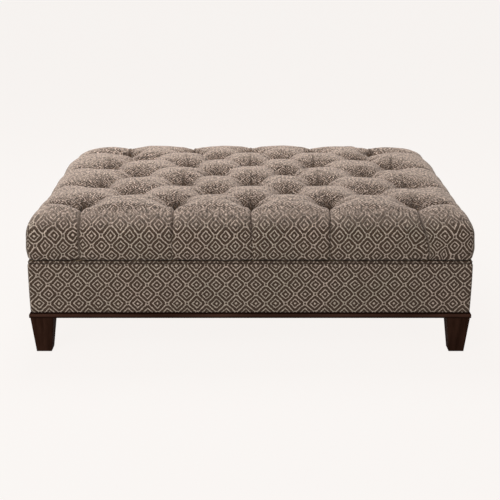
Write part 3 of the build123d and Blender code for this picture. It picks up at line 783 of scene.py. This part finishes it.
    # The deepest of each tuft is eased, so that it stays over the foam
    overFoam = (np.abs(outer[:, 0]) < c["foamHalfWidth"]) & (np.abs(outer[:, 1]) < c["foamHalfDepth"])
    lowest = c["pocketLevel"] + c["leastCloth"]
    spare = (outer[:, 2] - lowest) / c["deepZone"]
    eased = lowest + c["deepZone"] * np.exp(np.minimum(spare, 1) - 1)
    outer[:, 2] = np.where(overFoam & (spare < 1), eased, outer[:, 2])
    print("cloth stays", round(float(outer[overFoam, 2].min()) - c["pocketLevel"], 4), "m over the foam")

    # Faces, with the cloth's own coordinates, which jump where the cloth is folded away
    faces, uvs = [], []
    edgeX, edgeY = [lines[-1] * c["fullness"] for lines in (columns, rows)]

    def flatPlace(index, owner):
        # The owner is the pillow that the cloth lies on, or the side of a corner
        p, sideX, stepX = acrossLines[index % wide]
        q, sideY, stepY = alongLines[index // wide]
        x, y = base[index][:2]
        step = max(stepX, stepY)
        lengths = [profile[step][4] for profile in profiles]
        if owner in ("end", "front"):
            lengths[owner == "end"] = pleatsAway[index][owner == "front"]
            return sideX * (edgeX + lengths[0]), sideY * (edgeY + lengths[1])
        column, row = owner
        homeX, homeY = places[row][column]
        least, more = c["pillowStretch"]
        stretch = least + more * min(1.0, abs(p - column) + abs(q - row)) ** 2 * (1 - step / outward)
        u = homeX * c["fullness"] + (x - homeX) * stretch
        v = homeY * c["fullness"] + (y - homeY) * stretch
        for aheadX, aheadY in ((1, 0), (-1, 0), (0, 1), (0, -1)):  # the four tufts round this pillow
            beside = (column + aheadX, row + aheadY)
            if beside in gathers:
                near, (besideX, besideY) = gathers[beside][index], places[beside[1]][beside[0]]
                u += near * (aheadX * c["gatherLength"] + abs(aheadY) * c["gatherWidth"] * (x - besideX))
                v += near * (aheadY * c["gatherLength"] + abs(aheadX) * c["gatherWidth"] * (y - besideY))
        u = sideX * (edgeX + lengths[0]) if sideX else u
        v = sideY * (edgeY + lengths[1]) if sideY else v
        return u + (c["frontShift"][column] if sideY < 0 else 0.0), v

    def clothPlace(index, owner):
        u, v = flatPlace(index, owner)
        x, y, z = base[index]
        swirl = smoothStep(abs(x) / c["halfWidth"], *c["swirlZone"])
        swirl *= 1 - c["topCalm"] * smoothStep(up[index], *c["topZone"])
        for share, (reach, fineness, shift) in zip((1, sideShare[index] ** 3, swirl), c["strays"]):
            at = Vector((x * fineness, y * fineness, z * fineness + shift))
            u += share * reach * noise.noise(at)
            v += share * reach * noise.noise(at + Vector((30, 0, 0)))
        return u, v

    for j in range(deep - 1):
        for i in range(wide - 1):
            sideX = acrossLines[i][1] or acrossLines[i + 1][1]
            sideY = alongLines[j][1] or alongLines[j + 1][1]
            p, q = acrossLines[i][0], alongLines[j][0]
            column, row = min(7, int(p)), min(5, int(q))
            a = j * wide + i
            b, d, e = a + 1, a + wide, a + wide + 1
            trios, ahead = ((a, b, e), (a, e, d)), 0.0
            if sideX and sideY:
                trios = trios if sideX == sideY else ((a, b, d), (b, e, d))
                leans = [sum(acrossLines[k % wide][2] - alongLines[k // wide][2] for k in trio)
                         for trio in trios]
                owners = ["end" if lean > 0 else "front" for lean in leans]
            elif sideX:
                owners = [(0 if sideX < 0 else 8, row + 1 - row % 2)] * 2
            elif sideY:
                owners = [(column + 1 - column % 2, 0 if sideY < 0 else 6)] * 2
            elif (column + row) % 2 == 0:
                owners = [(column + 1, row), (column, row + 1)]
                ahead = q - row - (p - column)
            else:
                trios = ((a, b, d), (b, e, d))
                owners = [(column, row), (column + 1, row + 1)]
                ahead = p - column + (alongLines[j + 1][0] - row) - 1
            if abs(ahead) > 1e-9:
                owners = [owners[ahead > 0]] * 2
            for trio, owner in zip(trios, owners):
                faces.append(trio)
                uvs.extend(clothPlace(k, owner) for k in trio)

    # Bottom rim, pocket walls and pocket ceiling round the foam
    points = [tuple(p) for p in outer]
    rim = [*range(wide), *range(2 * wide - 1, deep * wide, wide)]
    rim += [*range(deep * wide - 2, (deep - 1) * wide - 1, -1), *range((deep - 2) * wide, 0, -wide)]
    radius = c["foamCorner"]
    straight = (c["foamHalfWidth"] - radius, c["foamHalfDepth"] - radius)
    rings = [rim]
    for level in (c["seamLevel"], c["pocketLevel"]):
        rings.append(range(len(points), len(points) + len(rim)))
        for index in rim:
            near, facing = fromCorner(*base[index][:2], *straight)
            points.append((near[0] + facing[0] * radius, near[1] + facing[1] * radius, level))
    for outerRing, innerRing in zip(rings, rings[1:]):
        for k in range(len(rim)):
            after = (k + 1) % len(rim)
            faces.append((outerRing[k], innerRing[k], innerRing[after], outerRing[after]))
            uvs.extend((points[n][0], points[n][1] + points[n][2]) for n in faces[-1])
    faces.append(tuple(rings[2]))
    uvs.extend(points[n][:2] for n in rings[2])
    piece = makeMesh("tuftedCushionCover", points, faces, uvs, cushionFabric)
    storeValues(piece, "upFacing", up)
    storeValues(piece, "foldShade", foldShade)
    return piece


cushionCover = buildCushion(cushion)
print("cushion modelled with", len(cushionCover.data.vertices), "points")


# The upholstered band, one padded length on each side
band = {
    "halfWidth": 0.6385,
    "halfDepth": 0.474,
    "cornerRadius": 0.009,
    "arcSteps": 4,
    "thickness": 0.0098,
    "bottom": 0.129,
    "top": 0.285,
    "bulge": (0.0012, 0.6),  # height, and a power that flattens its middle
    "lump": (0.0006, 14),  # height and fineness
    "rollIn": (0.0058, 0.0012, 0.004),  # at the top and bottom edges, and over what height
    "stitchLevel": 0.2776,
    "stitchDent": 0.0028,
    "stitchHeight": 0.0035,
    "dentUneven": 0.45,
    "pucker": 0.0007,
    "puckerReach": 0.012,
    "puckerScales": (95, 210),  # fineness of its wide and of its small folds
    "step": 0.006,
    "levelsLow": (0, 0.001, 0.0025, 0.004),  # heights of the grid lines over the bottom and under the top
    "levelsHigh": (0.014, 0.012, 0.0105, 0.0095, 0.0085, 0.0075, 0.0065, 0.005, 0.0035, 0.002, 0.001, 0),
    "levelsBetween": (18, 0.020),  # their number, and the height that the others take up
    "seamShade": (0.003, 0.3),  # height of the dark tone under the seam, and its least above the stitches
    "stitchShade": (0.0021, 0.95),  # height and strength of the dark tone at the stitches
}


def bandOffset(b, along, level, seed):
    # How far the cloth stands out from the CAD face: padded middle, stitched dent, rolled edges
    fromTop, fromBottom, fromStitch = b["top"] - level, level - b["bottom"], abs(level - b["stitchLevel"])
    height, power = b["bulge"]
    out = height * math.sin(math.pi * (fromBottom / (b["top"] - b["bottom"]))) ** power
    wide, small = b["puckerScales"]
    pucker = noiseAt(along * wide, seed, 0) + 0.5 * noiseAt(along * small, seed, 3)
    out -= b["stitchDent"] * bell(fromStitch, b["stitchHeight"]) * (1 + b["dentUneven"] * pucker)
    out += b["pucker"] * pucker * bell(fromStitch, b["puckerReach"], 1)
    height, fine = b["lump"]
    out += height * noiseAt(along * fine, seed, level * fine)
    above, below, edge = b["rollIn"]
    return out - above * (1 - smoothStep(fromTop / edge)) - below * (1 - smoothStep(fromBottom / edge))


def buildBand(b, side, length, depth, turn, seed):
    # Built as the front side, then turned by quarter turns about the middle
    radius = b["cornerRadius"]
    straight = length - radius
    count = int(2 * straight / b["step"])

    def onArc(sign, step):
        angle = math.pi / 4 * step / b["arcSteps"]
        across, back = math.sin(angle), math.cos(angle)
        return (sign * (straight + radius * across), -depth + radius * (1 - back), (sign * across, -back),
                sign * (straight + radius * angle))

    spots = [-straight + 2 * straight * step / count for step in range(count + 1)]
    stations = [onArc(-1, step) for step in range(b["arcSteps"], 0, -1)]
    stations += [(x, -depth, (0.0, -1.0), x) for x in spots]
    stations += [onArc(1, step) for step in range(1, b["arcSteps"] + 1)]
    lines, less = b["levelsBetween"]
    low, span = b["bottom"] + b["levelsLow"][-1], b["top"] - b["bottom"] - less
    levels = [b["bottom"] + t for t in b["levelsLow"]]
    levels += [low + span * k / lines for k in range(1, lines + 1)] + [b["top"] - t for t in b["levelsHigh"]]
    rows = levels + [b["top"], b["bottom"]]
    tall = len(rows)
    points, faces, uvs = [], [], []
    cosTurn, sinTurn = round(math.cos(turn)), round(math.sin(turn))
    innerDepth, innerLength = depth - b["thickness"], length - b["thickness"]
    for x, y, facing, along in stations:
        innerX = max(-innerLength, min(innerLength, x))
        if abs(along) > straight:
            cut = (straight + radius * math.pi / 4 - abs(along)) * 0.5
            innerX = math.copysign(innerLength * (1 - 1e-6) - cut, x)
        for row, level in enumerate(rows):
            px, py = innerX, -innerDepth
            if row < len(levels):
                out = bandOffset(b, along, level, seed)
                px, py = x + facing[0] * out, y + facing[1] * out
            points.append((px * cosTurn - py * sinTurn, px * sinTurn + py * cosTurn, level))
    for k in range(len(stations) - 1):
        for m in range(tall):
            n = (m + 1) % tall
            faces.append((k * tall + m, (k + 1) * tall + m, (k + 1) * tall + n, k * tall + n))
            uvs.extend((stations[corner // tall][3], rows[corner % tall]) for corner in faces[-1])
    for ring in (range(tall), range(len(points) - 1, len(points) - 1 - tall, -1)):
        faces.append(tuple(ring))
        uvs.extend((points[n][0] + points[n][1], points[n][2]) for n in ring)
    piece = makeMesh(f"{side}BandCover", points, faces, uvs, bandFabric)
    # Painted shade under the seam and at the stitches, kept in the foldShade attribute
    heights = np.array([point[2] for point in points])
    reach, least = b["seamShade"]
    shade = np.clip(1 - (b["top"] - heights) / reach, least * (heights > b["stitchLevel"]), 1)
    reach, strength = b["stitchShade"]
    paintedStitchShade = strength * bell(heights - b["stitchLevel"], reach)
    storeValues(piece, "foldShade", np.maximum(shade, paintedStitchShade))
    return piece


bandCovers = [(side, buildBand(band, side, *sizes)) for side, *sizes in (
    ("front", band["halfWidth"], band["halfDepth"], 0.0, 1.0),
    ("right", band["halfDepth"], band["halfWidth"], math.pi / 2, 2.0),
    ("back", band["halfWidth"], band["halfDepth"], math.pi, 3.0),
    ("left", band["halfDepth"], band["halfWidth"], -math.pi / 2, 4.0),
)]
print("band covers made")


# The row of stitches under the seam, set along a path with geometry nodes
stitchRow = {
    "pitch": 0.0056,
    "length": 0.0044,
    "thickness": 0.0020,
    "uneven": (0.82, 1.12),
    "standOut": 0.0002,
    "cornerSteps": 8,
    "pathStep": 0.006,
    "seed": 5,
}


def stitchNodes(s):
    # A stitch on every point of the path, turned along it and uneven in size
    group = bpy.data.node_groups.new("stitchRow", "GeometryNodeTree")
    kinds = {"Geometry": "Geometry", "Pitch": "Float", "StitchLength": "Float", "Thickness": "Float",
             "Seed": "Int", "Thread": "Material"}
    sockets = {}
    for label, kind in kinds.items():
        socket = group.interface.new_socket(label, in_out="INPUT", socket_type=f"NodeSocket{kind}")
        sockets[label] = socket.identifier
    group.interface.new_socket("Geometry", in_out="OUTPUT", socket_type="NodeSocketGeometry")
    given = addNode(group, "NodeGroupInput")
    curve = joinNode("GeometryNodeMeshToCurve", {0: given["Geometry"]})[0]
    spaced = {"Curve": curve, "Length": given["Pitch"]}
    spaced = joinNode("GeometryNodeResampleCurve", spaced, mode="LENGTH")[0]
    stitch = addNode(group, "GeometryNodeMeshUVSphere", {"Segments": 6, "Rings": 5, "Radius": 0.5})[0]
    tangent = addNode(group, "GeometryNodeInputTangent")[0]
    aligned = joinNode("FunctionNodeAlignEulerToVector", {"Vector": tangent}, axis="X")[0]
    size = {0: given["StitchLength"], 1: given["Thickness"], 2: given["Thickness"]}
    uneven = {2: s["uneven"][0], 3: s["uneven"][1], "Seed": given["Seed"]}
    size = {0: joinNode("ShaderNodeCombineXYZ", size)[0],
            "Scale": joinNode("FunctionNodeRandomValue", uneven, data_type="FLOAT")[1]}
    size = joinNode("ShaderNodeVectorMath", size, operation="SCALE")[0]
    placed = {"Points": spaced, "Instance": stitch, "Rotation": aligned, "Scale": size}
    real = joinNode("GeometryNodeRealizeInstances", {0: joinNode("GeometryNodeInstanceOnPoints", placed)[0]})
    finished = joinNode("GeometryNodeSetMaterial", {"Geometry": real[0], "Material": given["Thread"]})
    joinNode("NodeGroupOutput", {0: finished[0]})
    return group, sockets


def buildStitches(s, b):
    radius = b["cornerRadius"]
    straightX, straightY = b["halfWidth"] - radius, b["halfDepth"] - radius
    corners = []
    for signX, signY, start in ((1, -1, -90), (1, 1, 0), (-1, 1, 90), (-1, -1, 180)):
        for step in range(s["cornerSteps"] + 1):
            angle = math.radians(start + 90 * step / s["cornerSteps"])
            corners.append((signX * straightX + radius * math.cos(angle),
                            signY * straightY + radius * math.sin(angle)))
    dense = []
    for (x, y), (nextX, nextY) in zip(corners, corners[1:] + corners[:1]):
        count = max(1, int(math.hypot(nextX - x, nextY - y) / s["pathStep"]))
        dense += [(x + (nextX - x) * m / count, y + (nextY - y) * m / count) for m in range(count)]
    points = []
    for x, y in dense:
        # The band's own unevenness, which runs along each side from its left
        facing = fromCorner(x, y, straightX, straightY)[1]
        if abs(facing[1]) > abs(facing[0]):
            along, seed = (x, 1.0) if y < 0 else (-x, 3.0)
        else:
            along, seed = (y, 2.0) if x > 0 else (-y, 4.0)
        out = bandOffset(b, along, b["stitchLevel"], seed) + s["standOut"]
        points.append((x + facing[0] * out, y + facing[1] * out, b["stitchLevel"]))
    mesh = bpy.data.meshes.new("stitchPath")
    mesh.from_pydata(points, [(k, (k + 1) % len(points)) for k in range(len(points))], [])
    path = addPiece("stitchPath", mesh)
    modifier = path.modifiers.new("stitches", "NODES")
    modifier.node_group, sockets = stitchNodes(s)
    values = {"Pitch": s["pitch"], "StitchLength": s["length"], "Thickness": s["thickness"],
              "Seed": s["seed"], "Thread": softs["stitchThread"]}
    for label, value in values.items():
        modifier[sockets[label]] = value
    bpy.context.view_layer.update()
    plain = bpy.data.meshes.new_from_object(path.evaluated_get(bpy.context.evaluated_depsgraph_get()))
    plain.name = "seamStitches"
    plain.polygons.foreach_set("use_smooth", [True] * len(plain.polygons))
    bpy.data.objects.remove(path)
    return addPiece("seamStitches", plain)


seamStitches = buildStitches(stitchRow, band)
print("stitches set:", len(seamStitches.data.polygons), "faces")


# The foam, cut from the CAD solid's own shape and roughened
foam = {"join": 0.00001, "longEdge": 0.06, "cuts": 3, "lump": (0.0006, 60), "topFrom": 0.3}


def buildFoam(f):
    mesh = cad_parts["foam_core"].data.copy()
    mesh.name = "foamBlock"
    shape = bmesh.new()
    shape.from_mesh(mesh)
    bmesh.ops.remove_doubles(shape, verts=shape.verts, dist=f["join"])
    bmesh.ops.triangulate(shape, faces=shape.faces)
    long = [edge for edge in shape.edges if edge.calc_length() > f["longEdge"]]
    bmesh.ops.subdivide_edges(shape, edges=long, cuts=f["cuts"], use_grid_fill=True)
    size, fine = f["lump"]
    for vert in shape.verts:
        vert.co.z += min(0.0, size * noise.noise(vert.co * fine)) if vert.co.z > f["topFrom"] else 0.0
    bmesh.ops.triangulate(shape, faces=shape.faces)
    shape.to_mesh(mesh)
    shape.free()
    mesh.materials.clear()
    mesh.materials.append(softs["foamCut"])
    return addPiece("foamBlock", mesh)


foamBlock = buildFoam(foam)

# The dust cover, a thin cloth stretched under the frame
dustCloth = {
    "halfWidth": 0.6285,
    "halfDepth": 0.464,
    "notchX": 0.5775,
    "notchY": 0.4130,
    "cells": (49, 37),
    "top": 0.1150,
    "thickness": 0.0008,
    "sag": 0.0022,
    "lump": (0.0005, 9),
}


def buildDustCloth(d):
    sizes = ((d["halfWidth"], d["notchX"]), (d["halfDepth"], d["notchY"]))
    xs, ys = [[-half, -(half + notch) / 2, *np.linspace(-notch, notch, count), (half + notch) / 2, half]
              for (half, notch), count in zip(sizes, d["cells"])]
    points, index, faces = [], {}, []

    def pointAt(i, j, lower):
        if (i, j, lower) not in index:
            x, y = float(xs[i]), float(ys[j])
            inside = max(0.0, 1 - (x / d["notchX"]) ** 2) * max(0.0, 1 - (y / d["notchY"]) ** 2)
            size, fine = d["lump"]
            sag = d["sag"] * inside + size * noiseAt(x * fine, y * fine, 0) * math.sqrt(inside)
            index[i, j, lower] = len(points)
            points.append((x, y, d["top"] - max(0.0, sag) - (d["thickness"] if lower else 0.0)))
        return index[i, j, lower]

    kept = {(i, j) for i in range(len(xs) - 1) for j in range(len(ys) - 1)
            if abs(xs[i] + xs[i + 1]) / 2 < d["notchX"] or abs(ys[j] + ys[j + 1]) / 2 < d["notchY"]}
    for i, j in sorted(kept):
        around = ((i, j), (i + 1, j), (i + 1, j + 1), (i, j + 1))
        faces.append(tuple(pointAt(*k, False) for k in around))
        faces.append(tuple(pointAt(*k, True) for k in around[::-1]))
        for k, (stepI, stepJ) in enumerate(((0, -1), (1, 0), (0, 1), (-1, 0))):
            if (i + stepI, j + stepJ) not in kept:
                first, second = around[k], around[(k + 1) % 4]
                wall = ((second, False), (first, False), (first, True), (second, True))
                faces.append(tuple(pointAt(*corner, lower) for corner, lower in wall))
    return makeMesh("dustCloth", points, faces, None, softs["blackCambric"])


cloth = buildDustCloth(dustCloth)
print("foam and dust cover made")

# What each piece rides on and stands for
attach(cushionCover, "root")
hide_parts("tufted_cushion")
for side, cover in bandCovers:
    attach(cover, "root")
    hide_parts(f"{side}_band")
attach(seamStitches, "root")
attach(foamBlock, "root")
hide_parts("foam_core")
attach(cloth, "root")
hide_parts("dust_cover")

# Floor, lights and camera
studio = {
    "floor": ((-30, -30, 0), (30, -30, 0), (30, 60, 0), (-30, 60, 0)),
    "paper": (0.947, 0.913, 0.889),  # the photo's background
    "paperShare": 0.95,  # how much of the floor that the camera sees keeps that colour unlit
    "paperGlow": 1.02,
    "floorSeen": 0.60,  # how pale the floor is to the camera under the lamps, and to the object
    "floorFelt": 0.40,
    "ambient": 0.26,
    "ambientTone": (1, 0.99, 0.975, 1),
    "lamps": (
        ("topPanel", (-0.35, 0.9, 2.6), 1.4, 78.0),
        ("keyPanel", (-1.6, -2.8, 2.4), 1.8, 70.0),
        ("fillPanel", (2.4, -2.9, 1.4), 2.0, 12.0),
    ),
    "lampsAim": (0, 0, 0.25),
}


def seenDirectly(tree):
    # 1 for the camera's own rays and for those that pass through or mirror
    path = addNode(tree, "ShaderNodeLightPath")
    seen = calc("MAXIMUM", path["Is Camera Ray"], path["Is Transmission Ray"])
    return calc("MAXIMUM", seen, path["Is Glossy Ray"])


def mixShaders(share, first, second, output):
    mixed = joinNode("ShaderNodeMixShader", {0: share, 1: first[0], 2: second[0]})
    joinNode(output, {"Surface": mixed[0]})


def buildFloor(s):
    material, tree = newMaterial("paperFloor")[:2]
    tree.nodes.clear()
    seen = seenDirectly(tree)
    tint = mixColor(seen, (s["floorFelt"],) * 3, (s["floorSeen"],) * 3)
    lit = addNode(tree, "ShaderNodeBsdfDiffuse", {"Color": tint})
    plain = addNode(tree, "ShaderNodeEmission", {"Color": (*s["paper"], 1), "Strength": s["paperGlow"]})
    mixShaders(times(seen, s["paperShare"]), lit, plain, "ShaderNodeOutputMaterial")
    makeMesh("floor", s["floor"], [(0, 1, 2, 3)], None, material)


def buildStudio(s):
    world = bpy.data.worlds.new("studioWorld")
    world.use_nodes = True
    tree = world.node_tree
    tree.nodes.clear()
    around = addNode(tree, "ShaderNodeBackground", {"Color": s["ambientTone"], "Strength": s["ambient"]})
    behind = addNode(tree, "ShaderNodeBackground", {"Color": (*s["paper"], 1), "Strength": 1.0})
    mixShaders(seenDirectly(tree), around, behind, "ShaderNodeOutputWorld")
    scene.world = world
    for name, place, size, power in s["lamps"]:
        light = bpy.data.lights.new(name, "AREA")
        light.shape = "DISK"
        light.size = size
        light.energy = power
        lamp = addPiece(name, light)
        lamp.location = place
        lamp.rotation_euler = (Vector(s["lampsAim"]) - Vector(place)).to_track_quat("-Z", "Y").to_euler()


camera = {"place": (-0.0005, -3.3835, 1.2648), "down": 18.0, "lens": 77.33, "sensor": 36.0}


def buildCamera(k):
    data = bpy.data.cameras.new("photoCamera")
    data.sensor_width = k["sensor"]
    data.lens = k["lens"]
    view = addPiece("photoCamera", data)
    view.location = k["place"]
    view.rotation_euler = (math.radians(90 - k["down"]), 0, 0)
    scene.camera = view


buildFloor(studio)
buildStudio(studio)
buildCamera(camera)
scene.view_settings.view_transform = "Standard"
print("studio ready")
